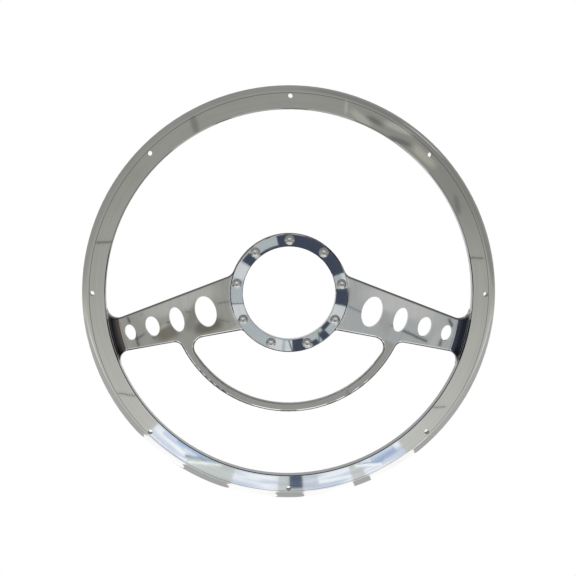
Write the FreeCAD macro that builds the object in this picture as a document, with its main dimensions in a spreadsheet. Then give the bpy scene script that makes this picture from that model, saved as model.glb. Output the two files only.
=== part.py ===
import FreeCAD, Part
import math
import os
import Sketcher

# A steering wheel for a motor boat, cut from one aluminium plate.
# It stands upright: X to the right, Z up, and its axis lies along Y.
# The face that the helmsman sees looks towards -Y.
# The origin is on the axis, in the plane of the hub's back face.

doc = FreeCAD.newDocument("steering_wheel")
sheet = doc.addObject("Spreadsheet::Sheet", "Dims")

sizes = [
    ("wheel_diameter", 393.7),
    ("rim_width", 22.4),
    ("rim_thickness", 12.7),
    ("rim_nose_width", 7.25),
    ("rim_shoulder_depth", 0.5),
    ("rim_edge_break", 0.8),
    ("grip_hole_inset", 9.9),
    ("grip_hole_diameter", 4.5),
    ("grip_hole_count", 8),
    ("dish_depth", 12.0),
    ("ramp_radius", 9.0),
    ("ramp_land", 0.5),
    ("spoke_thickness", 8.0),
    ("spoke_droop", 15.67),
    ("spoke_line_height", 4.15),
    ("spoke_root_inset", 7.15),
    ("spoke_root_width", 53.8),
    ("spoke_end_inset", 9.45),
    ("spoke_end_width", 32.4),
    ("front_edge_round", 2.0),
    ("back_edge_round", 1.0),
    ("corner_at_hub_top", 10.0),
    ("corner_at_hub_bottom", 4.0),
    ("corner_at_rim_top", 10.0),
    ("corner_at_rim_bottom", 9.0),
    ("corner_inside_bar", 10.0),
    ("corner_outside_bar", 8.0),
    ("oval_one_place", 0.219),
    ("oval_one_length", 30.0),
    ("oval_one_width", 20.0),
    ("oval_two_place", 0.463),
    ("oval_two_length", 24.2),
    ("oval_two_width", 13.5),
    ("oval_three_place", 0.669),
    ("oval_three_length", 19.4),
    ("oval_three_width", 13.1),
    ("oval_four_place", 0.855),
    ("oval_four_length", 15.4),
    ("oval_four_width", 10.1),
    ("bar_outer_diameter", 229.6),
    ("bar_width", 8.2),
    ("bar_end_drop", 30.0),
    ("screw_circle", 101.6),
    ("screw_count", 9),
    ("hub_margin", 6.35),
    ("bore_margin", 6.35),
    ("bore_edge_break", 0.5),
    ("ring_margin", 5.8),
    ("ring_thickness", 3.0),
    ("ring_edge_break", 0.8),
    ("thread_diameter", 5.0),
    ("shank_diameter", 4.5),
    ("screw_length", 20.0),
    ("screw_tip_break", 0.6),
    ("screw_hole_clearance", 0.25),
    ("head_diameter", 9.5),
    ("head_height", 2.75),
    ("head_rim_height", 0.3),
    ("head_flat_diameter", 4.4),
    ("key_across_flats", 3.0),
    ("key_depth", 1.6),
]
value = {}
for row, (alias, number) in enumerate(sizes, start=1):
    sheet.set("A%d" % row, alias)
    sheet.set("B%d" % row, str(number))
    sheet.setAlias("B%d" % row, alias)
    value[alias] = number
doc.recompute()


def new_body(name):
    body = doc.addObject("PartDesign::Body", name)
    body.Label = name
    return body


def base_plane(body, role):
    return [item for item in body.Origin.OriginFeatures if item.Role == role][0]


def new_sketch(body, name, role):
    sketch = body.newObject("Sketcher::SketchObject", name)
    sketch.AttachmentSupport = [(base_plane(body, role), "")]
    sketch.MapMode = "FlatFace"
    return sketch


def drive(sketch, kind, where, expression, start):
    index = sketch.addConstraint(Sketcher.Constraint(kind, *where, start))
    sketch.setExpression("Constraints[%d]" % index, expression)


def number_of(expression):
    names = {name: FreeCAD.Units.Quantity(sheet.get(name)).Value for name in value}
    plain = expression.replace("Dims.", "")
    for name in sorted(names, key=len, reverse=True):
        plain = plain.replace(name, repr(names[name]))
    return FreeCAD.Units.Quantity(plain).Value


def outline(sketch, corners, arcs=()):
    # A closed outline whose every corner is placed from the sheet.
    # arcs: the side after corner i is an arc about (centre x, centre y), turning the given way.
    bends = {item[0]: item[1:] for item in arcs}
    points = [FreeCAD.Vector(number_of(x), number_of(y), 0) for x, y in corners]
    count = len(points)
    for i in range(count):
        a = points[i]
        b = points[(i + 1) % count]
        if i in bends:
            centre = FreeCAD.Vector(number_of(bends[i][0]), number_of(bends[i][1]), 0)
            radius = (a - centre).Length
            first = math.atan2(a.y - centre.y, a.x - centre.x)
            last = math.atan2(b.y - centre.y, b.x - centre.x)
            circle = Part.Circle(centre, FreeCAD.Vector(0, 0, 1), radius)
            if bends[i][2] == "ccw":
                sketch.addGeometry(Part.ArcOfCircle(circle, first, last), False)
            else:
                sketch.addGeometry(Part.ArcOfCircle(circle, last, first), False)
        else:
            sketch.addGeometry(Part.LineSegment(a, b), False)

    def head(i):
        return (i, 2) if i in bends and bends[i][2] == "cw" else (i, 1)

    def tail(i):
        return (i, 1) if i in bends and bends[i][2] == "cw" else (i, 2)

    for i in range(count):
        after = (i + 1) % count
        sketch.addConstraint(Sketcher.Constraint("Coincident", *tail(i), *head(after)))
    for i in range(count):
        x, y = corners[i]
        drive(sketch, "DistanceX", (-1, 1) + head(i), x, points[i].x)
        drive(sketch, "DistanceY", (-1, 1) + head(i), y, points[i].y)
    for i in bends:
        if bends[i][3] == "on_axis":
            sketch.addConstraint(Sketcher.Constraint("PointOnObject", i, 3, -2))
        else:
            sketch.addConstraint(Sketcher.Constraint(bends[i][3], i, 3, *head(i)))


def round_about_axis(sketch, radius):
    size = number_of(radius)
    sketch.addGeometry(Part.Circle(FreeCAD.Vector(), FreeCAD.Vector(0, 0, 1), size), False)
    sketch.addConstraint(Sketcher.Constraint("Coincident", 0, 3, -1, 1))
    drive(sketch, "Radius", (0,), radius, size)


def add(body, kind, name, profile=None):
    feature = body.newObject(kind, name)
    if profile is not None:
        feature.Profile = profile
    return feature


def about_axis(feature, body):
    feature.ReferenceAxis = (feature.Profile[0], ["V_Axis"])
    feature.Angle = 360


def pad(body, name, sketch, length):
    feature = add(body, "PartDesign::Pad", name, sketch)
    feature.setExpression("Length", length)
    doc.recompute()
    body.Tip = feature
    return feature


def through(body, name, sketch):
    feature = add(body, "PartDesign::Pocket", name, sketch)
    feature.Type = "ThroughAll"
    feature.Reversed = True
    doc.recompute()
    body.Tip = feature
    return feature


def around(body, name, source, count):
    feature = body.newObject("PartDesign::PolarPattern", name)
    feature.Originals = [source]
    feature.Axis = (base_plane(body, "Y_Axis"), [""])
    feature.Angle = 360
    feature.setExpression("Occurrences", count)
    doc.recompute()
    body.Tip = feature
    return feature


def mirrored(body, name, source):
    feature = body.newObject("PartDesign::Mirrored", name)
    feature.Originals = [source]
    feature.MirrorPlane = (base_plane(body, "YZ_Plane"), [""])
    doc.recompute()
    body.Tip = feature
    return feature


def edges_where(shape, test):
    return ["Edge%d" % (i + 1) for i, edge in enumerate(shape.Edges) if test(edge)]


def is_upright(edge):
    # an edge that runs straight through the plate, along Y
    if len(edge.Vertexes) != 2 or not isinstance(edge.Curve, Part.Line):
        return False
    return abs(abs(edge.Curve.Direction.y) - 1.0) < 1e-6


def is_ring(edge, radius, height):
    # a full or part circle about the wheel's axis
    if not isinstance(edge.Curve, Part.Circle):
        return False
    centre = edge.Curve.Center
    on_axis = abs(centre.x) < 0.01 and abs(centre.z) < 0.01
    return on_axis and abs(edge.Curve.Radius - radius) < 0.01 and abs(centre.y - height) < 0.01


# Radii about the wheel's axis.
RIM_OUTER = "(Dims.wheel_diameter / 2)"
RIM_INNER = "(Dims.wheel_diameter / 2 - Dims.rim_width)"
SHOULDER = "(Dims.wheel_diameter / 2 - Dims.rim_nose_width)"
GRIP_CIRCLE = "(Dims.wheel_diameter / 2 - Dims.grip_hole_inset)"
SCREW_CIRCLE = "(Dims.screw_circle / 2)"
HUB = "(Dims.screw_circle / 2 + Dims.hub_margin)"
BORE = "(Dims.screw_circle / 2 - Dims.bore_margin)"
RING = "(Dims.screw_circle / 2 + Dims.ring_margin)"
BAR_OUTER = "(Dims.bar_outer_diameter / 2)"
BAR_INNER = "(Dims.bar_outer_diameter / 2 - Dims.bar_width)"

# Depths, counted forwards from the hub's back face.
RIM_FACE = "(Dims.spoke_thickness + Dims.dish_depth)"
RIM_BACK = "(Dims.spoke_thickness + Dims.dish_depth - Dims.rim_thickness)"
STOCK = "(Dims.spoke_thickness + Dims.ramp_radius)"
NOSE = "(Dims.rim_thickness / 2 - Dims.rim_shoulder_depth)"

# The frame: rim, two spokes, lower bar and hub plate, milled and turned from one plate.
frame = new_body("wheel_frame")

# Rim section: a flat face, a shallow shoulder and a half-round outer edge.
# Its inner part is left at full depth until the spokes are blended into it.
section = new_sketch(frame, "rim_section", "XY_Plane")
nose_centre = RIM_OUTER + " - " + NOSE
stock_edge = SHOULDER + " - 3"
outline(section, [
    (RIM_INNER, "-" + RIM_FACE),
    (SHOULDER, "-" + RIM_FACE),
    (SHOULDER, "-" + RIM_FACE + " + Dims.rim_shoulder_depth"),
    (nose_centre, "-" + RIM_FACE + " + Dims.rim_shoulder_depth"),
    (nose_centre, "-" + RIM_BACK + " - Dims.rim_shoulder_depth"),
    (SHOULDER, "-" + RIM_BACK + " - Dims.rim_shoulder_depth"),
    (SHOULDER, "-" + RIM_BACK),
    (stock_edge, "-" + RIM_BACK),
    (stock_edge, "0"),
    (RIM_INNER, "0"),
], [(3, nose_centre, "-" + RIM_BACK + " - Dims.rim_thickness / 2", "ccw", "Vertical")])
rim = add(frame, "PartDesign::Revolution", "rim_turning", section)
about_axis(rim, frame)
doc.recompute()
frame.Tip = rim

hub_sketch = new_sketch(frame, "hub_disc_sketch", "XZ_Plane")
round_about_axis(hub_sketch, HUB)
pad(frame, "hub_disc", hub_sketch, STOCK)

# Each spoke is a blade that tapers outwards and droops below the horizontal.
# Stations are counted along its centre line from the wheel's upright centre line.
root = "(%s - Dims.spoke_root_inset)" % HUB
tip = "(%s - Dims.spoke_end_inset)" % RIM_INNER
taper = "((Dims.spoke_root_width - Dims.spoke_end_width) / 2 / (%s - %s))" % (tip, root)


def half_width(station):
    return "(Dims.spoke_root_width / 2 - (%s - %s) * %s)" % (station, root, taper)


def on_spoke(sketch):
    sketch.AttachmentOffset = FreeCAD.Placement(
        FreeCAD.Vector(0, value["spoke_line_height"], 0),
        FreeCAD.Rotation(FreeCAD.Vector(0, 0, -1), value["spoke_droop"]))
    sketch.setExpression("AttachmentOffset.Base.y", "Dims.spoke_line_height")
    sketch.setExpression("AttachmentOffset.Rotation.Angle", "Dims.spoke_droop")


start = "(%s - 10)" % root
finish = "(%s + 7)" % RIM_INNER
blade = new_sketch(frame, "spoke_sketch", "XZ_Plane")
on_spoke(blade)
outline(blade, [
    (start, "-" + half_width(start)),
    (finish, "-" + half_width(finish)),
    (finish, half_width(finish)),
    (start, half_width(start)),
])
spoke = pad(frame, "spoke", blade, STOCK)
mirrored(frame, "other_spoke", spoke)

# The lower bar is an arc about the wheel's axis that joins the two spokes.
bar = new_sketch(frame, "bar_sketch", "XZ_Plane")
outer_r = number_of(BAR_OUTER)
inner_r = number_of(BAR_INNER)
drop = value["bar_end_drop"]
out_x = math.sqrt(outer_r ** 2 - drop ** 2)
in_x = math.sqrt(inner_r ** 2 - drop ** 2)
out_a = math.atan2(-drop, out_x)
in_a = math.atan2(-drop, in_x)
out_circle = Part.Circle(FreeCAD.Vector(), FreeCAD.Vector(0, 0, 1), outer_r)
in_circle = Part.Circle(FreeCAD.Vector(), FreeCAD.Vector(0, 0, 1), inner_r)
bar.addGeometry(Part.ArcOfCircle(out_circle, math.pi - out_a, 2 * math.pi + out_a), False)
bar.addGeometry(Part.LineSegment(FreeCAD.Vector(out_x, -drop, 0), FreeCAD.Vector(in_x, -drop, 0)), False)
bar.addGeometry(Part.ArcOfCircle(in_circle, math.pi - in_a, 2 * math.pi + in_a), False)
bar.addGeometry(Part.LineSegment(FreeCAD.Vector(-in_x, -drop, 0), FreeCAD.Vector(-out_x, -drop, 0)), False)
bar.addConstraint(Sketcher.Constraint("Coincident", 0, 3, -1, 1))
bar.addConstraint(Sketcher.Constraint("Coincident", 2, 3, -1, 1))
bar.addConstraint(Sketcher.Constraint("Coincident", 0, 2, 1, 1))
bar.addConstraint(Sketcher.Constraint("Coincident", 1, 2, 2, 2))
bar.addConstraint(Sketcher.Constraint("Coincident", 2, 1, 3, 1))
bar.addConstraint(Sketcher.Constraint("Coincident", 3, 2, 0, 1))
bar.addConstraint(Sketcher.Constraint("Horizontal", 1))
bar.addConstraint(Sketcher.Constraint("Horizontal", 3))
drive(bar, "Radius", (0,), BAR_OUTER, outer_r)
drive(bar, "Radius", (2,), BAR_INNER, inner_r)
drive(bar, "DistanceY", (-1, 1, 0, 2), "-Dims.bar_end_drop", -drop)
drive(bar, "DistanceY", (-1, 1, 0, 1), "-Dims.bar_end_drop", -drop)
bar_pad = pad(frame, "lower_bar", bar, STOCK)


def spoke_middle(x):
    # height of the spoke's centre line at a distance x from the upright centre line
    droop = math.radians(number_of("Dims.spoke_droop"))
    return number_of("Dims.spoke_line_height") - abs(x) * math.tan(droop)


def corner(circle, above):
    # picks the upright edges on one circle, above or below the spokes' centre lines
    radius = number_of(circle)

    def test(edge):
        if not is_upright(edge):
            return False
        point = edge.Vertexes[0].Point
        on_circle = abs(math.hypot(point.x, point.z) - radius) < 0.01
        on_seam = abs(point.x) < 0.01 or abs(point.z) < 0.01
        return on_circle and not on_seam and (point.z > spoke_middle(point.x)) == above
    return test


def rounded(body, name, test, radius):
    base = body.Tip
    feature = body.newObject("PartDesign::Fillet", name)
    feature.Base = (base, edges_where(base.Shape, test))
    feature.setExpression("Radius", radius)
    doc.recompute()
    body.Tip = feature
    return feature


def bevelled(body, name, test, size):
    base = body.Tip
    feature = body.newObject("PartDesign::Chamfer", name)
    feature.Base = (base, edges_where(base.Shape, test))
    feature.setExpression("Size", size)
    doc.recompute()
    body.Tip = feature
    return feature


def turned_away(body, name, corners, arcs=()):
    # removes a ring-shaped region, given as a section beside the axis
    profile = new_sketch(body, name + "_section", "XY_Plane")
    outline(profile, corners, arcs)
    feature = add(body, "PartDesign::Groove", name, profile)
    about_axis(feature, body)
    doc.recompute()
    body.Tip = feature
    return feature


# The inside corners left by the milling cutter, all through the plate.
rounded(frame, "corners_hub_top", corner(HUB, True), "Dims.corner_at_hub_top")
rounded(frame, "corners_hub_bottom", corner(HUB, False), "Dims.corner_at_hub_bottom")
rounded(frame, "corners_rim_top", corner(RIM_INNER, True), "Dims.corner_at_rim_top")
rounded(frame, "corners_rim_bottom", corner(RIM_INNER, False), "Dims.corner_at_rim_bottom")
rounded(frame, "corners_inside_bar", corner(BAR_INNER, False), "Dims.corner_inside_bar")
rounded(frame, "corners_outside_bar", corner(BAR_OUTER, False), "Dims.corner_outside_bar")

# The dish: spokes, bar and hub lie behind the rim's face,
# and a hollow ramp carries each spoke up to the rim.
ramp_start = RIM_INNER + " - Dims.ramp_land - Dims.ramp_radius"
ramp_top = RIM_INNER + " - Dims.ramp_land"
turned_away(frame, "dish", [
    ("0", "-Dims.spoke_thickness"),
    ("0", "-" + STOCK + " - 1"),
    (ramp_top, "-" + STOCK + " - 1"),
    (ramp_top, "-" + STOCK),
    (ramp_start, "-Dims.spoke_thickness"),
], [(3, ramp_start, "-" + STOCK, "ccw", "Horizontal")])

# Behind the rim the plate is turned back to the rim's own thickness.
turned_away(frame, "rim_back", [
    (RIM_INNER, "-" + RIM_BACK),
    (stock_edge + " + 1", "-" + RIM_BACK),
    (stock_edge + " + 1", "1"),
    (RIM_INNER, "1"),
])

bore_sketch = new_sketch(frame, "bore_sketch", "XZ_Plane")
round_about_axis(bore_sketch, BORE)
through(frame, "bore", bore_sketch)

# Four oval holes in each spoke, smaller towards the rim, each standing across the spoke.
# Each one's place is a part of the way from the hub's edge to the rim.
oval_sketch = new_sketch(frame, "ovals_sketch", "XZ_Plane")
on_spoke(oval_sketch)
for which in ("one", "two", "three", "four"):
    place = "(%s + Dims.oval_%s_place * (%s - %s))" % (HUB, which, RIM_INNER, HUB)
    station = number_of(place)
    length = value["oval_%s_length" % which]
    width = value["oval_%s_width" % which]
    oval = oval_sketch.addGeometry(Part.Ellipse(
        FreeCAD.Vector(station, length / 2, 0),
        FreeCAD.Vector(station + width / 2, 0, 0),
        FreeCAD.Vector(station, 0, 0)), False)
    oval_sketch.exposeInternalGeometry(oval)
    oval_sketch.addConstraint(Sketcher.Constraint("PointOnObject", oval, 3, -1))
    oval_sketch.addConstraint(Sketcher.Constraint("Vertical", oval + 1))
    drive(oval_sketch, "DistanceX", (-1, 1, oval, 3), place, station)
    drive(oval_sketch, "Distance", (oval + 1,), "Dims.oval_%s_length" % which, length)
    drive(oval_sketch, "Distance", (oval + 2,), "Dims.oval_%s_width" % which, width)
ovals = through(frame, "ovals", oval_sketch)
mirrored(frame, "other_ovals", ovals)


def hole_sketch(body, name, circle, diameter):
    # one round hole at the top of a circle about the axis
    sketch = new_sketch(body, name, "XZ_Plane")
    height = number_of(circle)
    size = number_of(diameter)
    sketch.addGeometry(Part.Circle(FreeCAD.Vector(0, height, 0), FreeCAD.Vector(0, 0, 1), size / 2))
    sketch.addConstraint(Sketcher.Constraint("PointOnObject", 0, 3, -2))
    drive(sketch, "DistanceY", (-1, 1, 0, 3), circle, height)
    drive(sketch, "Diameter", (0,), diameter, size)
    return sketch


SCREW_HOLE = "(Dims.thread_diameter + 2 * Dims.screw_hole_clearance)"
plate_hole = through(frame, "screw_hole", hole_sketch(frame, "screw_hole_sketch", SCREW_CIRCLE, SCREW_HOLE))
around(frame, "screw_holes", plate_hole, "Dims.screw_count")
grip_hole = through(frame, "grip_hole", hole_sketch(
    frame, "grip_hole_sketch", GRIP_CIRCLE, "Dims.grip_hole_diameter"))
around(frame, "grip_holes", grip_hole, "Dims.grip_hole_count")


def on_outline(height):
    # edges of the openings' outline in one plane, without the holes' edges and the ramps' starts
    level = number_of(height)
    others = [
        number_of(BORE),
        number_of(SCREW_HOLE) / 2,
        number_of(ramp_start),
        number_of(RIM_INNER),
    ]

    def test(edge):
        if abs(edge.BoundBox.YLength) > 1e-4:
            return False
        if any(abs(vertex.Point.y - level) > 1e-6 for vertex in edge.Vertexes):
            return False
        if isinstance(edge.Curve, Part.Line):
            return True
        if not isinstance(edge.Curve, Part.Circle):
            return False
        return all(abs(edge.Curve.Radius - radius) > 0.01 for radius in others)
    return test


# Rounded edges along the spokes, the bar and the hub, in front and behind.
rounded(frame, "front_edges", on_outline("-Dims.spoke_thickness"), "Dims.front_edge_round")
rounded(frame, "back_edges", on_outline("0"), "Dims.back_edge_round")


def rim_front_corner(edge):
    return is_ring(edge, number_of(RIM_INNER), -number_of(RIM_FACE))


bevelled(frame, "rim_inner_edge", rim_front_corner, "Dims.rim_edge_break")


def bore_back_corner(edge):
    return is_ring(edge, number_of(BORE), 0)


bevelled(frame, "bore_edge", bore_back_corner, "Dims.bore_edge_break")

# The ring is turned and lies on the front of the hub, under the screw heads.
ring = new_body("hub_ring")
ring_section = new_sketch(ring, "ring_section", "XY_Plane")
RING_FACE = "(Dims.spoke_thickness + Dims.ring_thickness)"
outline(ring_section, [
    (BORE, "-Dims.spoke_thickness"),
    (BORE, "-" + RING_FACE + " + Dims.bore_edge_break"),
    (BORE + " + Dims.bore_edge_break", "-" + RING_FACE),
    (RING + " - Dims.ring_edge_break", "-" + RING_FACE),
    (RING, "-" + RING_FACE + " + Dims.ring_edge_break"),
    (RING, "-Dims.spoke_thickness"),
])
ring_turning = add(ring, "PartDesign::Revolution", "ring_turning", ring_section)
about_axis(ring_turning, ring)
doc.recompute()
ring.Tip = ring_turning
ring_hole = through(ring, "ring_hole", hole_sketch(ring, "ring_hole_sketch", SCREW_CIRCLE, SCREW_HOLE))
around(ring, "ring_holes", ring_hole, "Dims.screw_count")

# Nine button-head screws with a hexagon socket. A slimmer shank passes the ring and the hub.
# The threaded end stands out behind, where the shaft's hub flange is tapped for it.
screws = new_body("hub_screws")
screws.AllowCompound = True
screw_section = new_sketch(screws, "screw_section", "XY_Plane")
screw_section.AttachmentOffset = FreeCAD.Placement(
    FreeCAD.Vector(0, 0, number_of(SCREW_CIRCLE)), FreeCAD.Rotation())
screw_section.setExpression("AttachmentOffset.Base.z", SCREW_CIRCLE)
head_top = "(" + RING_FACE + " + Dims.head_height)"
head_edge = "(" + RING_FACE + " + Dims.head_rim_height)"
head_r = "(Dims.head_diameter / 2)"
flat_r = "(Dims.head_flat_diameter / 2)"
shank_r = "(Dims.shank_diameter / 2)"
thread_r = "(Dims.thread_diameter / 2)"
screw_end = "(Dims.screw_length - " + RING_FACE + ")"
dome = "((%s^2 + %s^2 - %s^2 - %s^2) / (2 * (%s - %s)))" % (
    head_r, head_edge, flat_r, head_top, head_top, head_edge)
outline(screw_section, [
    ("0", "-" + head_top),
    (flat_r, "-" + head_top),
    (head_r, "-" + head_edge),
    (head_r, "-" + RING_FACE),
    (shank_r, "-" + RING_FACE),
    (shank_r, "0"),
    (thread_r, "0"),
    (thread_r, screw_end + " - Dims.screw_tip_break"),
    (thread_r + " - Dims.screw_tip_break", screw_end),
    ("0", screw_end),
], [(1, "0", dome, "ccw", "on_axis")])
screw_turning = add(screws, "PartDesign::Revolution", "screw_turning", screw_section)
about_axis(screw_turning, screws)
doc.recompute()
screws.Tip = screw_turning

socket_sketch = new_sketch(screws, "socket_sketch", "XZ_Plane")
socket_sketch.AttachmentOffset = FreeCAD.Placement(
    FreeCAD.Vector(0, number_of(SCREW_CIRCLE), number_of(head_top)), FreeCAD.Rotation())
socket_sketch.setExpression("AttachmentOffset.Base.y", SCREW_CIRCLE)
socket_sketch.setExpression("AttachmentOffset.Base.z", head_top)
point = "Dims.key_across_flats * 0.5773503"
flat = "Dims.key_across_flats / 2"
outline(socket_sketch, [
    (point, "0"),
    (point + " / 2", flat),
    ("-" + point + " / 2", flat),
    ("-" + point, "0"),
    ("-" + point + " / 2", "-" + flat),
    (point + " / 2", "-" + flat),
])
socket = add(screws, "PartDesign::Pocket", "socket", socket_sketch)
socket.setExpression("Length", "Dims.key_depth")
doc.recompute()
screws.Tip = socket
all_screws = screws.newObject("PartDesign::PolarPattern", "all_screws")
all_screws.Originals = [screw_turning, socket]
all_screws.Axis = (base_plane(screws, "Y_Axis"), [""])
all_screws.Angle = 360
all_screws.setExpression("Occurrences", "Dims.screw_count")
doc.recompute()
screws.Tip = all_screws
doc.recompute()

for item in doc.Objects:
    if "Invalid" in item.State or "Error" in item.State:
        raise RuntimeError("not built: " + item.Name)

os.makedirs("parts", exist_ok=True)
for body in (frame, ring, screws):
    if body.Shape.isNull() or not body.Shape.isValid():
        raise RuntimeError("bad shape: " + body.Label)
    body.Shape.exportStep("parts/" + body.Label + ".step")
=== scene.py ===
import math

import bmesh
import bpy
from mathutils import Matrix, Vector


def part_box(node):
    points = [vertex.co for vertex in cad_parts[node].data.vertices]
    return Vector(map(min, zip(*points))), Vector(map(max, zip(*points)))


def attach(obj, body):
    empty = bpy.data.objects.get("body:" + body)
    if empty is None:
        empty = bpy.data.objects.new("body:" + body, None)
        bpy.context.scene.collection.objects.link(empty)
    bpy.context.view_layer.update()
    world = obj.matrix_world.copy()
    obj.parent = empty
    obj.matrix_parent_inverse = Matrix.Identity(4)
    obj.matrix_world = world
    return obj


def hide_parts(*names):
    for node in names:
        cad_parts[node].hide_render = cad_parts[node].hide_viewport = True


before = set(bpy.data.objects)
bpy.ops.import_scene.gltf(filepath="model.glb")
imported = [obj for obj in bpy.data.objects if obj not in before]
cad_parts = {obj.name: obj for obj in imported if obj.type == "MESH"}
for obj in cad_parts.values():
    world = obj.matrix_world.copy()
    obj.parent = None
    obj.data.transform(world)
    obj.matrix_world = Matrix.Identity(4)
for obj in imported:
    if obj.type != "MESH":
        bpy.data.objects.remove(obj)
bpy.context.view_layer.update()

# The wheel frame is rim, spokes, lower bar and hub plate in one piece of aluminium plate.
# It is milled through, the dish and the rim are turned, every edge is eased by hand,
# and the whole is polished on a buffing wheel and left bare.
weld_distance = 0.000001
flat_neighbours = math.radians(0.1)
flat_normals = 0.002
eased_edge = 0.0002
least_corner = math.radians(60)
most_corner = math.radians(100)
sharpest_smooth_edge = math.radians(24)
same_surface = math.radians(14)
across_an_edge = math.radians(65)


def welded_copy(node):
    # The CAD mesh with its seams closed and its flat neighbours joined. Each corner keeps
    # the normal of the CAD surface, which the merge would lose.
    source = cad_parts[node].data
    shape = bmesh.new()
    shape.from_mesh(source)
    cad_normal = shape.loops.layers.float_vector.new("cad_normal")
    for face, polygon in zip(shape.faces, source.polygons):
        for loop, corner in zip(face.loops, polygon.loop_indices):
            loop[cad_normal] = source.corner_normals[corner].vector
    bmesh.ops.remove_doubles(shape, verts=shape.verts, dist=weld_distance)
    bmesh.ops.dissolve_limit(
        shape,
        angle_limit=flat_neighbours,
        use_dissolve_boundaries=False,
        verts=shape.verts,
        edges=shape.edges,
        delimit={"NORMAL"},
    )
    return shape


def ease_corners(shape):
    # the sharp corners are eased here, because that is too fine for the CAD solids
    corners = [
        edge
        for edge in shape.edges
        if len(edge.link_faces) == 2
        and least_corner < edge.calc_face_angle() < most_corner
    ]
    made = bmesh.ops.bevel(
        shape,
        geom=corners,
        offset=eased_edge,
        offset_type="OFFSET",
        affect="EDGES",
        segments=2,
        profile=0.5,
        material=-1,
        clamp_overlap=True,
        loop_slide=True,
    )
    return set(made["faces"])


def mean(vectors):
    return sum(vectors, Vector()).normalized()


def even_normals(shape, eased):
    # A flat face keeps its normal where it runs into a round one, round faces share theirs,
    # and an eased edge leads from the one to the other.
    cad_normal = shape.loops.layers.float_vector["cad_normal"]
    chosen = shape.loops.layers.float_vector.new("chosen_normal")
    shape.normal_update()
    flat = {
        face
        for face in shape.faces
        if face not in eased
        and all(loop[cad_normal].angle(face.normal, 1.0) < flat_normals for loop in face.loops)
    }
    for vert in shape.verts:
        kept = [loop for loop in vert.link_loops if loop.face not in eased]
        for loop in kept:
            own = loop[cad_normal]
            near = [other for other in kept if other[cad_normal].angle(own, 1.0) < same_surface]
            ruling = [other.face.normal for other in near if other.face in flat]
            loop[chosen] = mean(ruling or [other[cad_normal] for other in near])
        for loop in vert.link_loops:
            if loop.face in eased:
                own = loop.face.normal
                near = [other[chosen] for other in kept if other[chosen].angle(own, 1.0) < across_an_edge]
                near.sort(key=own.angle)
                loop[chosen] = near[0] if near else mean(
                    [other.face.normal for other in vert.link_loops]
                )
    return [loop[chosen].copy() for face in shape.faces for loop in face.loops]


# how far from the axis the rim and its nose begin, and how low the bar's walls that face up lie
rim_starts = 0.168
nose_starts = 0.189
bar_below = -0.05

# the shares of painted shade that a wall gets, and the tilts at which a round edge becomes a wall
wall_shade_share = 0.62
facing_down_adds = 0.38
facing_up_takes = 0.58
low_rim_adds = 0.22
facing_gain = 1.5
round_starts = 0.98
round_width = 0.11


def paint_wall_shade(shape):
    # How much painted shade a wall or the outer part of a round edge gets: most where a spoke
    # or the bar faces down, least where the bar faces up, more low in the rim than high in it,
    # and none on flat faces and the nose. It isn't a finish: it is painted reflection that stands in
    # for the dark and pale surroundings that these walls mirror in the photograph.
    shade = shape.loops.layers.float.new("wall")
    chosen = shape.loops.layers.float_vector["chosen_normal"]
    for face in shape.faces:
        for loop in face.loops:
            place = loop.vert.co
            normal = loop[chosen]
            reach = math.hypot(place.x, place.z)
            if reach > nose_starts:
                continue
            facing = min(1.0, facing_gain * abs(normal.z))
            shade_share = wall_shade_share
            if reach < rim_starts and normal.z < 0:
                shade_share += facing_down_adds * facing
            elif reach < rim_starts and place.z < bar_below:
                shade_share -= facing_up_takes * facing
            elif place.z < bar_below:
                shade_share += low_rim_adds
            turned = min(1.0, max(0.0, (round_starts - abs(normal.y)) / round_width))
            loop[shade] = shade_share * turned


def finished_piece(shape, name, material, normals=None, body="root"):
    for face in shape.faces:
        face.smooth = True
    for edge in shape.edges:
        if len(edge.link_faces) == 2:
            edge.smooth = edge.calc_face_angle(0.0) < sharpest_smooth_edge
    mesh = bpy.data.meshes.new(name)
    shape.to_mesh(mesh)
    shape.free()
    # the copy's old normals no longer fit its corners
    if "custom_normal" in mesh.attributes:
        mesh.attributes.remove(mesh.attributes["custom_normal"])
    mesh.materials.append(material)
    piece = bpy.data.objects.new(name, mesh)
    bpy.context.scene.collection.objects.link(piece)
    if normals:
        for layer in ("cad_normal", "chosen_normal"):
            mesh.attributes.remove(mesh.attributes[layer])
        mesh.normals_split_custom_set(normals)
    else:
        weighted = piece.modifiers.new("even_shading", "WEIGHTED_NORMAL")
        weighted.keep_sharp = True
    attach(piece, body)
    return piece


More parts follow.
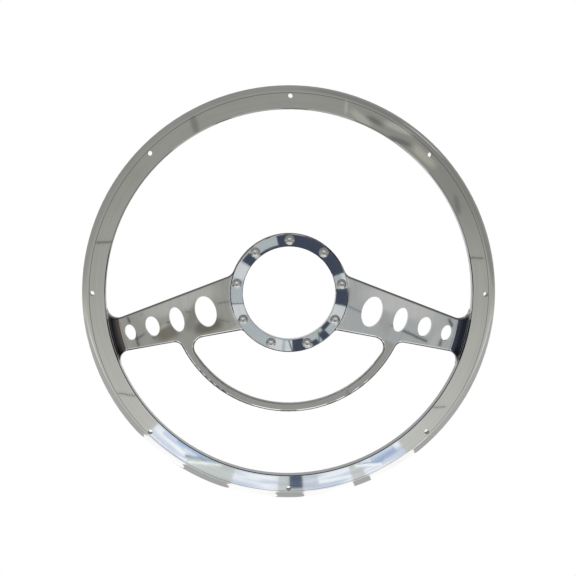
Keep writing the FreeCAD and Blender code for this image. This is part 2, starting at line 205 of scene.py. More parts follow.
class Socket:
    """A value in a material that can be added, multiplied and divided like a number."""

    def __init__(self, tree, output=None):
        self.tree = tree
        self.output = output

    def node(self, kind, settings=None, inputs=None, output=0):
        """One of the outputs of a new node, whose inputs are numbers or other values."""
        made = self.tree.nodes.new(kind)
        for name, setting in (settings or {}).items():
            if name == "stops":
                # the colours along a ramp, each with its position
                ramp = made.color_ramp
                while len(ramp.elements) < len(setting):
                    ramp.elements.new(0.5)
                for element, (position, colour) in zip(ramp.elements, setting):
                    element.position = position
                    element.color = (*colour, 1.0)
            else:
                setattr(made, name, setting)
        for name, given in (inputs or {}).items():
            if isinstance(given, Socket):
                self.tree.links.new(given.output, made.inputs[name])
            else:
                made.inputs[name].default_value = given
        return Socket(self.tree, made.outputs[output] if made.outputs else None)

    def outputs(self):
        return [Socket(self.tree, output) for output in self.output.node.outputs]

    def maths(self, operation, *values, clamp=False):
        inputs = dict(enumerate(values))
        return self.node("ShaderNodeMath", {"operation": operation, "use_clamp": clamp}, inputs)

    def __add__(self, other):
        return self.maths("ADD", self, other)

    def __radd__(self, other):
        return self.maths("ADD", other, self)

    def __rsub__(self, other):
        return self.maths("SUBTRACT", other, self)

    def __mul__(self, other):
        return self.maths("MULTIPLY", self, other)

    def __truediv__(self, other):
        return self.maths("DIVIDE", self, other)

    def between(self, low, high):
        """0 below low, 1 above high and a soft step from one to the other."""
        return self.node(
            "ShaderNodeMapRange",
            {"interpolation_type": "SMOOTHSTEP"},
            {"Value": self, "From Min": low, "From Max": high, "To Min": 0.0, "To Max": 1.0},
        )


def new_material(name):
    material = bpy.data.materials.new(name)
    material.use_nodes = True
    material.node_tree.nodes.clear()
    return material, Socket(material.node_tree)


def noise(at, vector, scale, detail, roughness=0.5):
    return at.node(
        "ShaderNodeTexNoise",
        {"noise_dimensions": "3D"},
        {"Vector": vector, "Scale": scale, "Detail": detail, "Roughness": roughness},
    )


def mixed_colour(at, factor, first, second):
    # a mix node has sockets for every type of value: 6, 7 and 2 are those for colours
    return at.node(
        "ShaderNodeMix",
        {"data_type": "RGBA"},
        {"Factor": factor, 6: first, 7: second},
        output=2,
    )


def in_the_wheel(at, place):
    # the three coordinates of a place, and its distance from the wheel's axis
    across, depth, up = at.node("ShaderNodeSeparateXYZ", inputs={"Vector": place}).outputs()
    return across, depth, up, at.maths("SQRT", across * across + up * up)


def turned_round(at, across, up, distance, along, outwards):
    # a place for noise that is drawn out in circles round the wheel's axis
    return at.node(
        "ShaderNodeCombineXYZ",
        inputs={
            "X": across / distance * along,
            "Y": distance * outwards,
            "Z": up / distance * along,
        },
    )


def polished_metal(
    name, colour, dull_colour, roughness, wave_height, mark_height, groove=None, painted_wall_colour=None
):
    # Buffed metal: a slow unevenness from the wheel's pressure, fine curved marks that
    # follow the turning, and a thin veil of handling that dulls the shine in places.
    rub_share = 0.11
    rub_grey = (0.45, 0.45, 0.45, 1.0)
    dark_band_colour = (0.16, 0.16, 0.15, 1.0)
    duller_by_marks = 0.01
    duller_on_walls = 0.05
    material, at = new_material(name)
    place = at.node("ShaderNodeTexCoord", output="Object")
    across, depth, up, distance = in_the_wheel(at, place)
    fine_marks = turned_round(at, across, up, distance, along=2.0, outwards=2400.0)
    laps = noise(at, fine_marks, 1.0, detail=3.0)
    broad_marks = turned_round(at, across, up, distance, along=2.5, outwards=420.0)
    rubbed = noise(at, broad_marks, 1.0, detail=2.0).between(0.35, 0.70)
    veil = noise(at, place, 22.0, detail=4.0, roughness=0.6)
    dull = veil.between(0.45, 0.75)
    base = mixed_colour(at, dull, (*colour, 1.0), (*dull_colour, 1.0))
    base = mixed_colour(at, rubbed * rub_share, base, rub_grey)
    if groove:
        # a thin dark band in the corner of a step, between two radii, only in front of the given depth
        start, end, front = groove
        fade = 0.00015
        dark_band = distance.between(start, start + fade) * (1.0 - distance.between(end - fade, end))
        dark_band = dark_band * (1.0 - depth.between(front, front + 0.0001))
        base = mixed_colour(at, dark_band * 0.8, base, dark_band_colour)
    shine = roughness + dull * duller_by_marks + laps * duller_by_marks
    if painted_wall_colour:
        # painted shade: the milled walls get a dark colour that stands in for the dark surroundings
        # they mirror; they are also duller, as the buffing wheel reaches them less well
        wall = at.node("ShaderNodeAttribute", {"attribute_name": "wall"}, output="Fac")
        base = mixed_colour(at, wall, base, (*painted_wall_colour, 1.0))
        shine = shine + wall * duller_on_walls
    wave = noise(at, place, 14.0, detail=1.0)
    height = wave * wave_height + laps * mark_height
    bump = at.node("ShaderNodeBump", inputs={"Strength": 1.0, "Distance": 1.0, "Height": height})
    surface = at.node(
        "ShaderNodeBsdfPrincipled",
        inputs={"Base Color": base, "Metallic": 1.0, "Roughness": shine, "Normal": bump},
    )
    at.node("ShaderNodeOutputMaterial", inputs={"Surface": surface})
    return material


plate_metal = polished_metal(
    "polished_plate",
    colour=(0.87, 0.87, 0.86),
    dull_colour=(0.83, 0.83, 0.81),
    roughness=0.024,
    wave_height=0.00002,
    mark_height=0.0000001,
    groove=(0.1892, 0.1899, -0.0190),
    # the walls' dark colour is painted shade, for the dark surroundings they mirror
    painted_wall_colour=(0.05, 0.053, 0.06),
)

# the small holes in the rim are drilled and left as the drill leaves them
bore_metal = polished_metal(
    "drilled_bore",
    colour=(0.42, 0.42, 0.41),
    dull_colour=(0.28, 0.28, 0.27),
    roughness=0.34,
    wave_height=0.0,
    mark_height=0.000001,
)
hole_circle = 0.18695
hole_radius = 0.00225
hole_count = 8
hole_slack = 0.00005
hole_wall_tilt = 0.2


def on_clock(angle, radius):
    # a spot in the wheel's plane; clock angles are in degrees, from the top to the right
    turn = math.radians(angle)
    return Vector((radius * math.sin(turn), 0.0, radius * math.cos(turn)))


def lines_a_rim_hole(face):
    if abs(face.normal.y) > hole_wall_tilt:
        return False
    middle = face.calc_center_median()
    holes = [on_clock(360 * number / hole_count, hole_circle) for number in range(hole_count)]
    nearest = min(math.hypot(middle.x - hole.x, middle.z - hole.z) for hole in holes)
    return nearest < hole_radius + hole_slack


plate = welded_copy("wheel_frame")
eased = ease_corners(plate)
for face in plate.faces:
    if lines_a_rim_hole(face):
        face.material_index = 1
normals = even_normals(plate, eased)
# painted shade on the walls and round edges, stored on the mesh
paint_wall_shade(plate)
wheel_plate = finished_piece(plate, "wheel_plate", plate_metal, normals)
wheel_plate.data.materials.append(bore_metal)
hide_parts("wheel_frame")

# The hub ring is a turned ring of the same metal that lies on the front of the hub.
# The screws clamp it, and its face is buffed brighter than the plate's.
ring_metal = polished_metal(
    "polished_ring",
    colour=(0.88, 0.885, 0.89),
    dull_colour=(0.84, 0.845, 0.85),
    roughness=0.012,
    wave_height=0.00003,
    mark_height=0.00000005,
)
ring = welded_copy("hub_ring")
eased = ease_corners(ring)
trim_ring = finished_piece(ring, "trim_ring", ring_metal, even_normals(ring, eased))
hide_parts("hub_ring")

# Nine stainless button-head screws with a hexagon socket hold the ring and the hub
# to the flange behind. They are forged, their threads are rolled, and they keep a grey sheen.
screw_circle = 0.0508
screw_count = 9
head_seat = -0.011
head_top = head_seat - 0.00275
head_radius = 0.00475
head_edge = head_seat - 0.0003
head_flat = 0.0022
head_break = 0.00008
dome_steps = 10
socket_mouth = 0.0019
socket_lead = 0.00012
socket_across = 0.003
socket_floor = head_top + 0.0016
socket_point = 0.0005
socket_corner = math.radians(60)
shank_radius = 0.00225
shank_taper = 0.0003
thread_radius = 0.0025
thread_root = 0.00208
thread_pitch = 0.0008
thread_start = 0.0
ridge_sunk = 0.0001
ridge_foot = thread_root - ridge_sunk
screw_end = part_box("hub_screws")[1].y
tip_break = 0.0006
around_screw = 48
steps_per_turn = 24
forward = Vector((0.0, 1.0, 0.0))

screw_metal = polished_metal(
    "screw_steel",
    colour=(0.80, 0.80, 0.79),
    dull_colour=(0.70, 0.70, 0.69),
    roughness=0.27,
    wave_height=0.00002,
    mark_height=0.0000002,
)


def chain(shape, points):
    verts = [shape.verts.new(point) for point in points]
    edges = [shape.edges.new(pair) for pair in zip(verts, verts[1:])]
    return verts, edges


def head_profile():
    # the dome is a circle about a point on the screw's axis, from the flat to the head's edge
    rise = head_radius ** 2 + head_edge ** 2 - head_flat ** 2 - head_top ** 2
    centre = rise / (2 * (head_edge - head_top))
    dome = math.hypot(head_flat, head_top - centre)
    first = math.atan2(head_flat, centre - head_top)
    last = math.atan2(head_radius, centre - head_edge)
    points = [(socket_mouth, head_top)]
    for step in range(dome_steps + 1):
        angle = first + (last - first) * step / dome_steps
        points.append((dome * math.sin(angle), centre - dome * math.cos(angle)))
    points += [
        (head_radius, head_seat - head_break),
        (head_radius - head_break, head_seat),
        (shank_radius, head_seat),
        (shank_radius, thread_start - shank_taper),
        (thread_root, thread_start),
        (thread_root, screw_end - tip_break / 2),
        (thread_root - tip_break / 2, screw_end),
    ]
    return [Vector((radius, depth, 0.0)) for radius, depth in points]


def hexagon_radius(vert):
    angle = math.atan2(vert.co.z, vert.co.x) % socket_corner - socket_corner / 2
    return socket_across / 2 / math.cos(angle)


def open_loop(shape, depth):
    # the edges of the hole that the shape still has at that depth
    return [
        edge
        for edge in shape.edges
        if edge.is_boundary and all(abs(vert.co.y - depth) < 0.00001 for vert in edge.verts)
    ]


def extruded(shape, edges):
    # the corners of a new row of faces along the edges, not moved yet
    made = bmesh.ops.extrude_edge_only(shape, edges=edges)["geom"]
    return [part for part in made if isinstance(part, bmesh.types.BMVert)]


screw = bmesh.new()
profile, profile_edges = chain(screw, head_profile())
bmesh.ops.spin(
    screw,
    geom=profile + profile_edges,
    cent=(0.0, 0.0, 0.0),
    axis=forward,
    angle=math.radians(360),
    steps=around_screw,
    use_merge=True,
)
for vert in extruded(screw, open_loop(screw, head_top)):
    radius = hexagon_radius(vert)
    away = Vector((vert.co.x, 0.0, vert.co.z)).normalized()
    vert.co = away * radius + forward * (head_top + socket_lead)
for vert in extruded(screw, open_loop(screw, head_top + socket_lead)):
    vert.co.y = socket_floor
bottom = extruded(screw, open_loop(screw, socket_floor))
bmesh.ops.pointmerge(screw, verts=bottom, merge_co=forward * (socket_floor + socket_point))
bmesh.ops.holes_fill(screw, edges=open_loop(screw, screw_end))

# the thread is one ridge that climbs round the core and fades out at both ends;
# the last turns are left for the ridge's own height and for some room at the tip
fade_length = 1.5 * thread_pitch
turns_left = 1.2
turns = (screw_end - thread_start) / thread_pitch - turns_left
ridge_steps = int(turns * steps_per_turn)
ridge, ridge_edges = chain(screw, [
    Vector((radius, thread_start + thread_pitch * share, 0.0))
    for radius, share in [
        (ridge_foot, 0.0), (thread_radius, 0.40), (thread_radius, 0.52), (ridge_foot, 0.92)
    ]
])
ridge_edges.append(screw.edges.new((ridge[3], ridge[0])))
bmesh.ops.spin(
    screw,
    geom=ridge + ridge_edges,
    cent=(0.0, 0.0, 0.0),
    axis=forward,
    dvec=forward * (thread_pitch / steps_per_turn),
    angle=math.radians(360) * ridge_steps / steps_per_turn,
    steps=ridge_steps,
)
bmesh.ops.holes_fill(screw, edges=[edge for edge in screw.edges if edge.is_boundary], sides=4)
for vert in screw.verts:
    radius = math.hypot(vert.co.x, vert.co.z)
    if vert.co.y > thread_start and radius > thread_root + ridge_sunk:
        room = min(vert.co.y - thread_start, screw_end - vert.co.y)
        share = min(1.0, max(0.0, room / fade_length))
        height = (radius - thread_root) * share + thread_root
        vert.co.x *= height / radius
        vert.co.z *= height / radius
bmesh.ops.recalc_face_normals(screw, faces=screw.faces)

# all nine are alike, but their sockets stopped at different angles when they were tightened
socket_turn = 23
all_screws = bmesh.new()
single = bpy.data.meshes.new("single_screw")
screw.to_mesh(single)
screw.free()
for number in range(screw_count):
    before = len(all_screws.verts)
    all_screws.from_mesh(single)
    all_screws.verts.ensure_lookup_table()
    fresh = all_screws.verts[before:]
    key_turn = math.radians(number * socket_turn % 60)
    place = math.radians(360 * number / screw_count)
    bmesh.ops.rotate(all_screws, verts=fresh, matrix=Matrix.Rotation(key_turn, 3, forward))
    bmesh.ops.translate(all_screws, verts=fresh, vec=(0.0, 0.0, screw_circle))
    bmesh.ops.rotate(all_screws, verts=fresh, matrix=Matrix.Rotation(place, 3, forward))
bpy.data.meshes.remove(single)
button_screws = finished_piece(all_screws, "button_screws", screw_metal)
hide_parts("hub_screws")

# The floor is plain and pale, a little way below the wheel, which a shaft would hold.
# It keeps the soft shadow near the wheel and goes to the white of the background far off.
floor_height = -0.42
floor_radius = 1.7
shadow_keeps = 0.42
white_starts = 0.66
floor_disc = bmesh.new()
bmesh.ops.create_circle(floor_disc, cap_ends=True, cap_tris=True, segments=96, radius=floor_radius)
bmesh.ops.translate(floor_disc, verts=floor_disc.verts, vec=(0.0, 0.0, floor_height))
floor_mesh = bpy.data.meshes.new("floor")
floor_disc.to_mesh(floor_mesh)
floor_disc.free()
floor_material, at = new_material("floor_paper")
place = at.node("ShaderNodeTexCoord", output="Object")
from_middle = at.node("ShaderNodeVectorMath", {"operation": "LENGTH"}, {0: place}, output="Value")
far_off = from_middle.between(shadow_keeps, white_starts)
paper = at.node("ShaderNodeBsdfDiffuse", inputs={"Color": (0.86, 0.86, 0.86, 1.0), "Roughness": 0.0})
glow = at.node("ShaderNodeEmission", inputs={"Color": (1.0, 1.0, 1.0, 1.0), "Strength": 1.0})
surface = at.node("ShaderNodeMixShader", inputs={0: far_off, 1: paper, 2: glow})
at.node("ShaderNodeOutputMaterial", inputs={"Surface": surface})
floor_mesh.materials.append(floor_material)
floor = bpy.data.objects.new("floor", floor_mesh)
bpy.context.scene.collection.objects.link(floor)

# The background is white to the camera and to rays in gloss or glass. To all others it is
# a plain pale light, which falls on the floor.
world = bpy.data.worlds.new("studio")
bpy.context.scene.world = world
world.use_nodes = True
world.node_tree.nodes.clear()
at = Socket(world.node_tree)
rays = at.node("ShaderNodeLightPath").output.node
seen, in_gloss, through_glass = [
    Socket(at.tree, rays.outputs[kind])
    for kind in ("Is Camera Ray", "Is Glossy Ray", "Is Transmission Ray")
]
shown = at.maths("ADD", seen + in_gloss, through_glass, clamp=True)
white = at.node("ShaderNodeBackground", inputs={"Color": (1.0, 1.0, 1.0, 1.0), "Strength": 1.0})
pale = at.node("ShaderNodeBackground", inputs={"Color": (0.95, 0.97, 1.0, 1.0), "Strength": 0.7})
backdrop = at.node("ShaderNodeMixShader", inputs={0: shown, 1: pale, 2: white})
at.node("ShaderNodeOutputWorld", inputs={"Surface": backdrop})

# One wide soft lamp hangs over the wheel and gives the floor its shadow.
lamp_data = bpy.data.lights.new("overhead_lamp", "AREA")
lamp_data.shape = "SQUARE"
lamp_data.size = 1.6
lamp_data.energy = 22.0
lamp = bpy.data.objects.new("overhead_lamp", lamp_data)
lamp.location = (0.0, 0.1, 2.2)
lamp.visible_glossy = False
bpy.context.scene.collection.objects.link(lamp)

# The camera stands a little above and to the left of the wheel's axis, a metre and a half off.
aim = Vector((0.0, -0.02, 0.0))
camera_distance = 1.5
camera_height = math.radians(4.59)
camera_side = math.radians(1.93)
camera_roll = math.radians(0.29)
picture_width = 576
focal_length_pixels = 1581
aim_pixel = (289.64, 293.86)
to_camera = Vector((
    -math.sin(camera_side) * math.cos(camera_height),
    -math.cos(camera_side) * math.cos(camera_height),
    math.sin(camera_height),
))
camera_place = aim + to_camera * camera_distance
right = (-to_camera).cross(Vector((0.0, 0.0, 1.0))).normalized()
up = right.cross(-to_camera)
camera_x = right * math.cos(camera_roll) + up * math.sin(camera_roll)
camera_y = -right * math.sin(camera_roll) + up * math.cos(camera_roll)
camera_data = bpy.data.cameras.new("camera")
camera_data.sensor_width = 36.0
camera_data.lens = camera_data.sensor_width * focal_length_pixels / picture_width
camera_data.shift_x = (picture_width / 2 - aim_pixel[0]) / picture_width
camera_data.shift_y = (aim_pixel[1] - picture_width / 2) / picture_width
camera_data.clip_start = 0.05
camera_data.clip_end = 50.0
camera = bpy.data.objects.new("camera", camera_data)
camera.matrix_world = Matrix.Translation(camera_place) @ Matrix((
    (camera_x.x, camera_y.x, to_camera.x),
    (camera_x.y, camera_y.y, to_camera.y),
    (camera_x.z, camera_y.z, to_camera.z),
)).to_4x4()
bpy.context.scene.collection.objects.link(camera)
bpy.context.scene.camera = camera
bpy.context.scene.view_settings.view_transform = "Standard"

# A grey tent stands round the wheel, which only the polished metal shows.
# It is paler low down, and behind, where light falls through it in a wide ring,
# and a little dimmer in front on the upper right.
tent_radius = 3.2
dimmed = 0.22
tent_shape = bmesh.new()
bmesh.ops.create_uvsphere(tent_shape, u_segments=96, v_segments=48, radius=tent_radius)
tent_mesh = bpy.data.meshes.new("tent")
tent_shape.to_mesh(tent_mesh)
tent_shape.free()
tent_cloth, at = new_material("tent_cloth")
place = at.node("ShaderNodeTexCoord", output="Object")
direction = at.node(
    "ShaderNodeVectorMath", {"operation": "SCALE"}, {0: place, "Scale": 1.0 / tent_radius}
)
side, back, height, reach = in_the_wheel(at, direction)
shade = at.node(
    "ShaderNodeValToRGB",
    {
        "stops": [
            (0.00, (0.70, 0.71, 0.70)),
            (0.385, (0.61, 0.62, 0.59)),
            (0.43, (0.48, 0.485, 0.455)),
            (0.462, (0.41, 0.41, 0.385)),
            (0.51, (0.335, 0.335, 0.315)),
            (0.80, (0.29, 0.29, 0.28)),
            (1.00, (0.30, 0.30, 0.30)),
        ]
    },
    {0: height * 0.5 + 0.5},
)
pale_behind = back.between(0.40, 0.65) * reach.between(0.075, 0.090) * (1.0 - reach.between(0.16, 0.18))
dim_corner = side.between(0.03, 0.20) * height.between(-0.06, 0.02) * (1.0 - back.between(-0.1, 0.1))
colour = mixed_colour(at, dim_corner * dimmed, shade, (0.0, 0.0, 0.0, 1.0))
colour = mixed_colour(at, pale_behind, colour, (0.76, 0.77, 0.78, 1.0))
glow = at.node("ShaderNodeEmission", inputs={"Color": colour, "Strength": 1.0})
at.node("ShaderNodeOutputMaterial", inputs={"Surface": glow})
tent_mesh.materials.append(tent_cloth)
tent = bpy.data.objects.new("tent", tent_mesh)
bpy.context.scene.collection.objects.link(tent)


def only_in_the_metal(item):
    item.visible_camera = False
    item.visible_diffuse = False
    item.visible_transmission = False
    item.visible_volume_scatter = False
    item.visible_shadow = False


only_in_the_metal(tent)

# Cards and cloths stand before the wheel, as round any polished thing in a studio.
# Each is placed by the spot on the wheel's flat face where its reflection falls.
rim_face = -0.02
hub_face = -0.011
spoke_face = -0.008
card_depth = -1.0
near_camera = -1.3
degrees_per_step = 3


def stands_at(x, z, mirror, depth):
    # the point of the plane at that depth that a flat face shows to the camera at (x, z)
    reach = (mirror - depth) / (mirror - camera_place.y)
    return Vector((
        x + (x - camera_place.x) * reach,
        depth,
        z + (z - camera_place.z) * reach,
    ))


def sector(shape, first, last, inner, outer, mirror, depth):
    # a piece of a ring, from one clock angle to another in degrees
    placed = set(shape.verts)
    verts, edges = chain(shape, [on_clock(first, inner), on_clock(first, outer)])
    bmesh.ops.spin(
        shape,
        geom=verts + edges,
        cent=(0.0, 0.0, 0.0),
        axis=forward,
        angle=math.radians(last - first),
        steps=max(2, int((last - first) / degrees_per_step)),
    )
    for vert in shape.verts:
        if vert not in placed:
            vert.co = stands_at(vert.co.x, vert.co.z, mirror, depth)


def strip(shape, start, end, width, mirror, depth):
    # a thin straight card between two spots on the wheel's face
    begins = Vector((start[0], 0.0, start[1]))
    stops = Vector((end[0], 0.0, end[1]))
    aside = (stops - begins).cross(forward).normalized() * width / 2
    spots = [begins - aside, begins + aside, stops + aside, stops - aside]
    verts = [shape.verts.new(stands_at(spot.x, spot.z, mirror, depth)) for spot in spots]
    shape.faces.new(verts)


def card(name, shape, colour, strength=1.0, streak_colour=None, soft=False):
    mesh = bpy.data.meshes.new(name)
    shape.to_mesh(mesh)
    shape.free()
    material, at = new_material(name)
    shown = (*colour, 1.0)
    if streak_colour:
        # streaks that run round the wheel's axis, as the rim shows them
        place = at.node("ShaderNodeTexCoord", output="Object")
        axis = stands_at(0.0, 0.0, rim_face, card_depth)
        offset = at.node("ShaderNodeVectorMath", {"operation": "SUBTRACT"}, {0: place, 1: axis})
        across, depth, up, distance = in_the_wheel(at, offset)
        streaks = turned_round(at, across, up, distance, along=3.0, outwards=210.0)
        factor = noise(at, streaks, 1.0, detail=2.0).between(0.42, 0.58)
        shown = mixed_colour(at, factor, shown, (*streak_colour, 1.0))
    glow = at.node("ShaderNodeEmission", inputs={"Color": shown, "Strength": strength})
    if soft:
        # a fold in cloth: it fades out towards all four sides
        unwrapped = at.node("ShaderNodeTexCoord", output="UV")
        across, along, _ = at.node("ShaderNodeSeparateXYZ", inputs={"Vector": unwrapped}).outputs()
        inside = (across * (1.0 - across)) * (along * (1.0 - along)) * 16.0
        clear = at.node("ShaderNodeBsdfTransparent")
        glow = at.node("ShaderNodeMixShader", inputs={0: inside.between(0.0, 0.8), 1: clear, 2: glow})
    at.node("ShaderNodeOutputMaterial", inputs={"Surface": glow})
    mesh.materials.append(material)
    item = bpy.data.objects.new(name, mesh)
    bpy.context.scene.collection.objects.link(item)
    only_in_the_metal(item)


def ring_card(name, pieces, mirror, depth, colour, strength=1.0, streak_colour=None):
    # a card cut into pieces of a ring: two clock angles and two radii are given for each
    shape = bmesh.new()
    for first, last, inner, outer in pieces:
        sector(shape, first, last, inner, outer, mirror, depth)
    card(name, shape, colour, strength, streak_colour)


# Round the lens: pale paper, and the dark blue cloth that the bright ring shows.
# Their pieces reach from within the bore to the ring's outer edge.
ring_inner = 0.040
ring_outer = 0.0571
all_round = [(0, 360, ring_inner, ring_outer)]
ring_card("pale_round_lens", all_round, hub_face, near_camera, (0.45, 0.50, 0.52))
blue_pieces = [
    (-13, 69, ring_inner, ring_outer),
    (-38, -13, ring_inner, 0.0470),
    (85, 103, ring_inner, ring_outer),
    (126, 138, ring_inner, 0.0490),
    (136, 145, 0.048, ring_outer),
    (149, 156, 0.051, ring_outer),
    (163, 176, ring_inner, ring_outer),
    (304, 315, ring_inner, 0.0545),
]
ring_card("blue_cloth", blue_pieces, hub_face, near_camera + 0.02, (0.058, 0.070, 0.104))
white_pieces = [
    (69, 84, 0.052, ring_outer),
    (104, 120, ring_inner, ring_outer),
    (176.5, 184, 0.046, ring_outer),
    (187, 196, ring_inner, ring_outer),
    (243, 258, ring_inner, ring_outer),
    (286, 302, 0.044, ring_outer),
]
ring_card("white_paper_round_lens", white_pieces, hub_face, near_camera + 0.03, (0.66, 0.70, 0.71))
ring_seams = bmesh.new()
for start, end, width in [
    ((-0.0560, -0.0100), (-0.0440, -0.0100), 0.0009),
    ((0.0, -0.0455), (0.0036, -0.0562), 0.0012),
    ((0.0280, -0.0370), (0.0290, -0.0485), 0.0010),
]:
    strip(ring_seams, start, end, width, hub_face, near_camera + 0.04)
card("ring_seams", ring_seams, (0.10, 0.11, 0.13))

# Low in front: white and blue paper that the lower rim shows, with grey gaps.
# Their pieces reach across the rim's flat face.
low_inner = 0.170
low_outer = 0.1905
ring_card(
    "white_paper",
    [
        (143.5, 157, low_inner, low_outer),
        (161, 175.6, low_inner, low_outer),
        (183.2, 197, low_inner, low_outer),
        (206, 225, low_inner, low_outer),
    ],
    rim_face,
    card_depth - 0.01,
    (0.90, 0.945, 0.99),
    1.12,
    streak_colour=(0.54, 0.61, 0.76),
)

low_gaps = bmesh.new()
for first, last in [(157, 161), (175.6, 183.2), (197, 206)]:
    sector(low_gaps, first, last, low_inner, low_outer, rim_face, card_depth)

# one gap's far side is folded over
fold_line = [(206, low_inner), (206, low_outer), (211.5, low_outer), (211, 0.183)]
low_gaps.faces.new([
    low_gaps.verts.new(stands_at(spot.x, spot.z, rim_face, card_depth))
    for spot in [on_clock(angle, radius) for angle, radius in fold_line]
])
card("low_gaps", low_gaps, (0.68, 0.72, 0.72), streak_colour=(0.55, 0.60, 0.60))

for name, pieces, nearer, colour, streak_colour in [
    ("grey_card", [(134, 143.5, low_inner, low_outer)], 0.0, (0.585, 0.595, 0.565), None),
    (
        "blue_paper",
        [(145.5, 154, 0.174, 0.1835), (214, 222, 0.1765, 0.1800)],
        0.02,
        (0.36, 0.47, 0.70),
        (0.68, 0.79, 0.98),
    ),
    ("deep_blue_paper", [(207, 217, 0.172, 0.1782)], 0.025, (0.22, 0.32, 0.48), (0.46, 0.60, 0.84)),
    ("shaded_paper", [(171, 175.6, low_inner, 0.189)], 0.02, (0.58, 0.64, 0.74), (0.76, 0.81, 0.89)),
    ("dark_card", [(175.8, 179.8, low_inner, 0.187)], 0.03, (0.07, 0.09, 0.14), (0.14, 0.18, 0.26)),
]:
    ring_card(name, pieces, rim_face, card_depth + nearer, colour, streak_colour=streak_colour)

# a fold's edge shines as a thin curved line, with a dark hollow above it
fold_shine = bmesh.new()
fold_hollow = bmesh.new()
for shape, width, nearer, bends in [
    (fold_shine, 0.0018, 0.05, [(210.8, 0.1876), (208, 0.1836), (205, 0.1797), (201.5, 0.1770)]),
    (fold_hollow, 0.0030, 0.04, [(212.5, 0.1842), (209, 0.1802), (205.8, 0.1772), (201.5, 0.1752)]),
    (fold_shine, 0.0018, 0.05, [(159, 0.1770), (156.5, 0.1794), (154, 0.1824), (151.5, 0.1862)]),
    (fold_hollow, 0.0013, 0.04, [(158, 0.1762), (155.5, 0.1784), (153, 0.1812), (150.5, 0.1846)]),
]:
    for start, end in zip(bends, bends[1:]):
        start, end = on_clock(*start), on_clock(*end)
        strip(shape, (start.x, start.z), (end.x, end.z), width, rim_face, card_depth + nearer)
card("fold_shine", fold_shine, (0.96, 1.0, 1.0), 1.25)
card("fold_hollow", fold_hollow, (0.20, 0.28, 0.38), streak_colour=(0.36, 0.48, 0.60))

# Before the middle hang plain cloths that the bar and the spokes show, the left one darker.
for name, piece, nearer, colour in [
    ("middle_cloth", (116, 244, 0.103, 0.1185), 0.0, (0.33, 0.33, 0.315)),
    ("left_cloth", (238, 289, 0.0578, 0.1655), -0.02, (0.335, 0.335, 0.31)),
    ("right_cloth", (71, 122, 0.0578, 0.1655), -0.02, (0.41, 0.43, 0.435)),
]:
    ring_card(name, [piece], spoke_face, card_depth + nearer, colour)

# Seams and stand rods in the tent's front, which cross the rim and the spokes as thin lines.
rods = bmesh.new()
for start, end, width, mirror in [
    ((-0.0685, -0.0102), (-0.0570, -0.0084), 0.0008, spoke_face),
    ((-0.0685, -0.0254), (-0.0565, -0.0278), 0.0007, spoke_face),
    ((-0.0995, -0.0183), (-0.0907, -0.0190), 0.0012, spoke_face),
    ((-0.1234, -0.0319), (-0.1138, -0.0279), 0.0015, spoke_face),
    ((-0.1470, -0.0395), (-0.1436, -0.0520), 0.0019, spoke_face),
    ((-0.1543, -0.0230), (-0.1519, -0.0295), 0.0019, spoke_face),
    ((-0.1422, -0.0213), (-0.1402, -0.0204), 0.0024, spoke_face),
    ((-0.1300, -0.0438), (-0.1280, -0.0426), 0.0024, spoke_face),
    ((-0.1455, -0.0450), (-0.1380, -0.0395), 0.0012, spoke_face),
    ((-0.0900, -0.0030), (-0.0890, -0.0130), 0.0010, spoke_face),
    ((0.0570, -0.0130), (0.1080, -0.0355), 0.0009, spoke_face),
    ((0.1080, -0.0355), (0.1330, -0.0465), 0.0020, spoke_face),
    ((0.1535, -0.0245), (0.1572, -0.0320), 0.0024, spoke_face),
    ((0.1466, -0.0425), (0.1450, -0.0510), 0.0024, spoke_face),
    ((-0.1630, -0.0948), (-0.1460, -0.0978), 0.0010, rim_face),
    ((-0.1830, 0.0480), (-0.1670, 0.0490), 0.0014, rim_face),
    ((0.1690, 0.0350), (0.1840, 0.0345), 0.0012, rim_face),
    ((0.1370, -0.1086), (0.1500, -0.1080), 0.0010, rim_face),
    ((-0.0600, -0.0905), (-0.0590, -0.0975), 0.0008, spoke_face),
    ((0.0557, -0.0920), (0.0573, -0.0990), 0.0008, spoke_face),
]:
    strip(rods, start, end, width, mirror, card_depth)
card("rods", rods, (0.06, 0.06, 0.055))

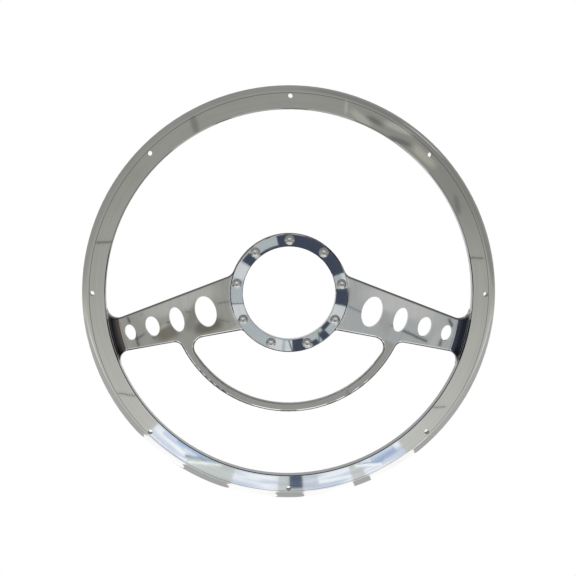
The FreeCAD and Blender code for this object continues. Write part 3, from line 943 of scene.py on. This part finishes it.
# Folds in the tent's cloth, which the metal shows as soft dark and light patches.
for number, (start, end, width, mirror, colour) in enumerate([
    ((0.0700, 0.1690), (0.0900, 0.1580), 0.0060, rim_face, (0.17, 0.165, 0.155)),
    ((0.0900, 0.1500), (0.1180, 0.1390), 0.0060, rim_face, (0.16, 0.160, 0.160)),
    ((0.0550, 0.1760), (0.0780, 0.1560), 0.0090, rim_face, (0.42, 0.42, 0.38)),
    ((0.0850, 0.1640), (0.1180, 0.1500), 0.0070, rim_face, (0.44, 0.44, 0.40)),
    ((0.1120, 0.1440), (0.1400, 0.1180), 0.0100, rim_face, (0.43, 0.42, 0.36)),
    ((0.1560, 0.0960), (0.1610, 0.0740), 0.0060, rim_face, (0.19, 0.185, 0.175)),
    ((0.0528, 0.1850), (0.0518, 0.1680), 0.0030, rim_face, (0.46, 0.46, 0.44)),
    ((-0.0930, 0.1700), (-0.0870, 0.1480), 0.0080, rim_face, (0.21, 0.21, 0.20)),
    ((-0.1020, -0.0340), (-0.1320, -0.0430), 0.0180, spoke_face, (0.19, 0.180, 0.150)),
    ((-0.1310, -0.0385), (-0.1150, -0.0290), 0.0050, spoke_face, (0.50, 0.49, 0.45)),
    ((-0.0600, -0.0270), (-0.0950, -0.0370), 0.0160, spoke_face, (0.16, 0.155, 0.13)),
    ((-0.0860, -0.0080), (-0.0990, -0.0400), 0.0120, spoke_face, (0.24, 0.24, 0.22)),
    ((-0.0600, 0.0060), (-0.1500, -0.0240), 0.0240, spoke_face, (0.46, 0.46, 0.44)),
    ((0.0600, 0.0040), (0.1500, -0.0250), 0.0260, spoke_face, (0.53, 0.53, 0.53)),
    ((0.0860, -0.0080), (0.0960, -0.0440), 0.0120, spoke_face, (0.38, 0.39, 0.39)),
    ((0.1330, -0.0560), (0.1520, -0.0300), 0.0090, spoke_face, (0.47, 0.47, 0.46)),
]):
    fold = bmesh.new()
    strip(fold, start, end, width, mirror, card_depth + 0.01)
    unwrap = fold.loops.layers.uv.new("across")
    for face in fold.faces:
        for loop, corner in zip(face.loops, ((0, 0), (1, 0), (1, 1), (0, 1))):
            loop[unwrap].uv = corner
    card(f"fold_{number:02d}", fold, colour, soft=True)

# A dark flag stands at the foot of each ramp, half a millimetre in front of the metal. It is
# edge-on to the camera's view in the flat faces, so there only the ramp shows it. From the side
# the spokes and the rim show it too. The left flag is brown but for its foot.
flag_rear = -0.0085
flag_front = -0.25
brown_starts = -0.0121
for name, side, rear, front, colour in [
    ("right_flag", 1, flag_rear, flag_front, (0.043, 0.047, 0.070)),
    ("left_flag_foot", -1, flag_rear, brown_starts, (0.030, 0.036, 0.052)),
    ("left_flag", -1, brown_starts, flag_front, (0.085, 0.074, 0.070)),
]:
    flag = bmesh.new()
    foot = [(side * 0.1532, -0.0590), (side * 0.1635, -0.0225)]
    corners = [stands_at(x, z, spoke_face, depth) for depth in (rear, front) for x, z in foot]
    verts = [flag.verts.new(corner) for corner in corners]
    flag.faces.new([verts[i] for i in (0, 1, 3, 2)])
    card(name, flag, colour)

# On the floor below lie white papers with grey gaps, which the rim's round edge shows.
flat_ends = 0.190
edge_middle = 0.195
papers_rear = 0.9
papers_middle = -0.3
furthest_fall = 1.1
least_slope = -0.05
floor_papers = bmesh.new()
grey_gaps = bmesh.new()


def on_the_floor(angle):
    # where the rim's flat face shows the floor, just inside the round edge at that clock angle
    spot = on_clock(angle, flat_ends)
    fall = min(furthest_fall, (spot.z - floor_height) / (camera_place.z - spot.z))
    return spot.x + (spot.x - camera_place.x) * fall, (rim_face - camera_place.y) * -fall


def under_the_edge(angle):
    # where a ray that leaves the round edge outwards meets the floor; it slips sideways,
    # since the camera stands beside the wheel's axis
    spot = on_clock(angle, edge_middle)
    slip = -camera_place.dot(on_clock(angle + 90, 1.0)) / camera_distance
    way = on_clock(angle, 1.0) + on_clock(angle + 90, 1.0) * slip
    return spot.x + way.x * (floor_height - spot.z) / min(least_slope, way.z)


def lengthwise(shape, first, last, lift):
    # a paper between two clock angles, from behind the wheel to where the flat face shows it
    left, right = under_the_edge(first), under_the_edge(last)
    outline = [
        (left, papers_rear),
        (right, papers_rear),
        (right, papers_middle),
        on_the_floor(last),
        on_the_floor(first),
        (left, papers_middle),
    ]
    shape.faces.new([shape.verts.new((x, y, floor_height + lift)) for x, y in outline])


for first, last in [(142, 156.3), (161.3, 175.6), (183.2, 197), (210.8, 225)]:
    lengthwise(floor_papers, first, last, 0.004)
for first, last in [(97, 142), (156.3, 161.3), (175.6, 183.2), (197, 210.8), (225, 263)]:
    lengthwise(grey_gaps, first, last, 0.003)
card("floor_papers", floor_papers, (1.0, 1.0, 1.0), 1.15)
card("grey_gaps", grey_gaps, (0.44, 0.45, 0.44))

# A small soft box stands high on the right and draws the bright streak on the rim's edge.
softbox_half_width = 0.17
softbox_distance = 1.5
softbox_way = Vector((0.65, -0.38, 0.65)).normalized()
softbox_turn = softbox_way.to_track_quat("Z", "Y").to_matrix().to_4x4()
softbox_shape = bmesh.new()
bmesh.ops.create_grid(softbox_shape, x_segments=1, y_segments=1, size=softbox_half_width)
bmesh.ops.transform(
    softbox_shape,
    verts=softbox_shape.verts,
    matrix=Matrix.Translation(softbox_way * softbox_distance) @ softbox_turn,
)
card("softbox", softbox_shape, (0.62, 0.62, 0.61))
